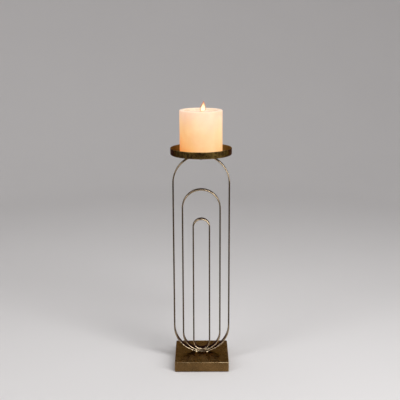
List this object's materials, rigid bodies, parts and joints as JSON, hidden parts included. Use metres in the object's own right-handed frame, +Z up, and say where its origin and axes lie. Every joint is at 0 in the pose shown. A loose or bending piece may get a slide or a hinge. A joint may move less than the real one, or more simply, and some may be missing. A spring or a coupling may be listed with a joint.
{
  "type": "pillar candle holder",
  "caption": "Tall pillar candle holder: nested upright loops of flat metal strip on a low square weighted base, with a round rimmed plate and a spike for the candle on top.",
  "frame": {"origin": "on the table, under the middle of the square base", "axes": "+Z up, X along the plane of the loops, -Y to the front"},
  "size_m": [0.1094, 0.1094, 0.4805],
  "materials": {
    "antique_gold": "antique gold lacquer on pressed steel, glossy on the flat top, softly worn along the edges",
    "loop_gold": "antique gold lacquer on rolled steel strip, satin, brighter along the rolled edges",
    "plate_gold": "darker antique gold lacquer on spun steel sheet, satin, with fine round lines",
    "weld_gold": "small round weld beads under gold lacquer, glossy",
    "cast_slab": "rough as cast",
    "black_sheet": "black powder coat, fine orange-peel",
    "zinc_steel": "zinc plated steel",
    "felt": "dense pressed wool felt",
    "ivory_wax": "ivory paraffin wax, smooth, slightly see-through, glowing near the flame",
    "wick_cotton": "braided cotton, charred above the wax"
  },
  "bodies": {
    "holder": {"base_shell": "antique_gold", "ballast_plate": "cast_slab", "base_cover": "black_sheet", "cover_screws": "zinc_steel", "foot_pads": "felt", "outer_loop": "loop_gold", "middle_loop": "loop_gold", "inner_loop": "loop_gold", "foot_welds": "weld_gold", "loop_welds": "weld_gold", "candle_plate": "plate_gold", "pricket": "zinc_steel", "plate_washer": "zinc_steel", "lock_washer": "zinc_steel", "plate_nut": "zinc_steel"},
    "candle": {"candle_wax": "ivory_wax", "wick": "wick_cotton"}
  },
  "joints": [
    {"name": "candle_lift", "type": "slide", "parent": "holder", "child": "candle", "axis": [0, 0, 1], "range_m": [0, 0.045]}
  ]
}
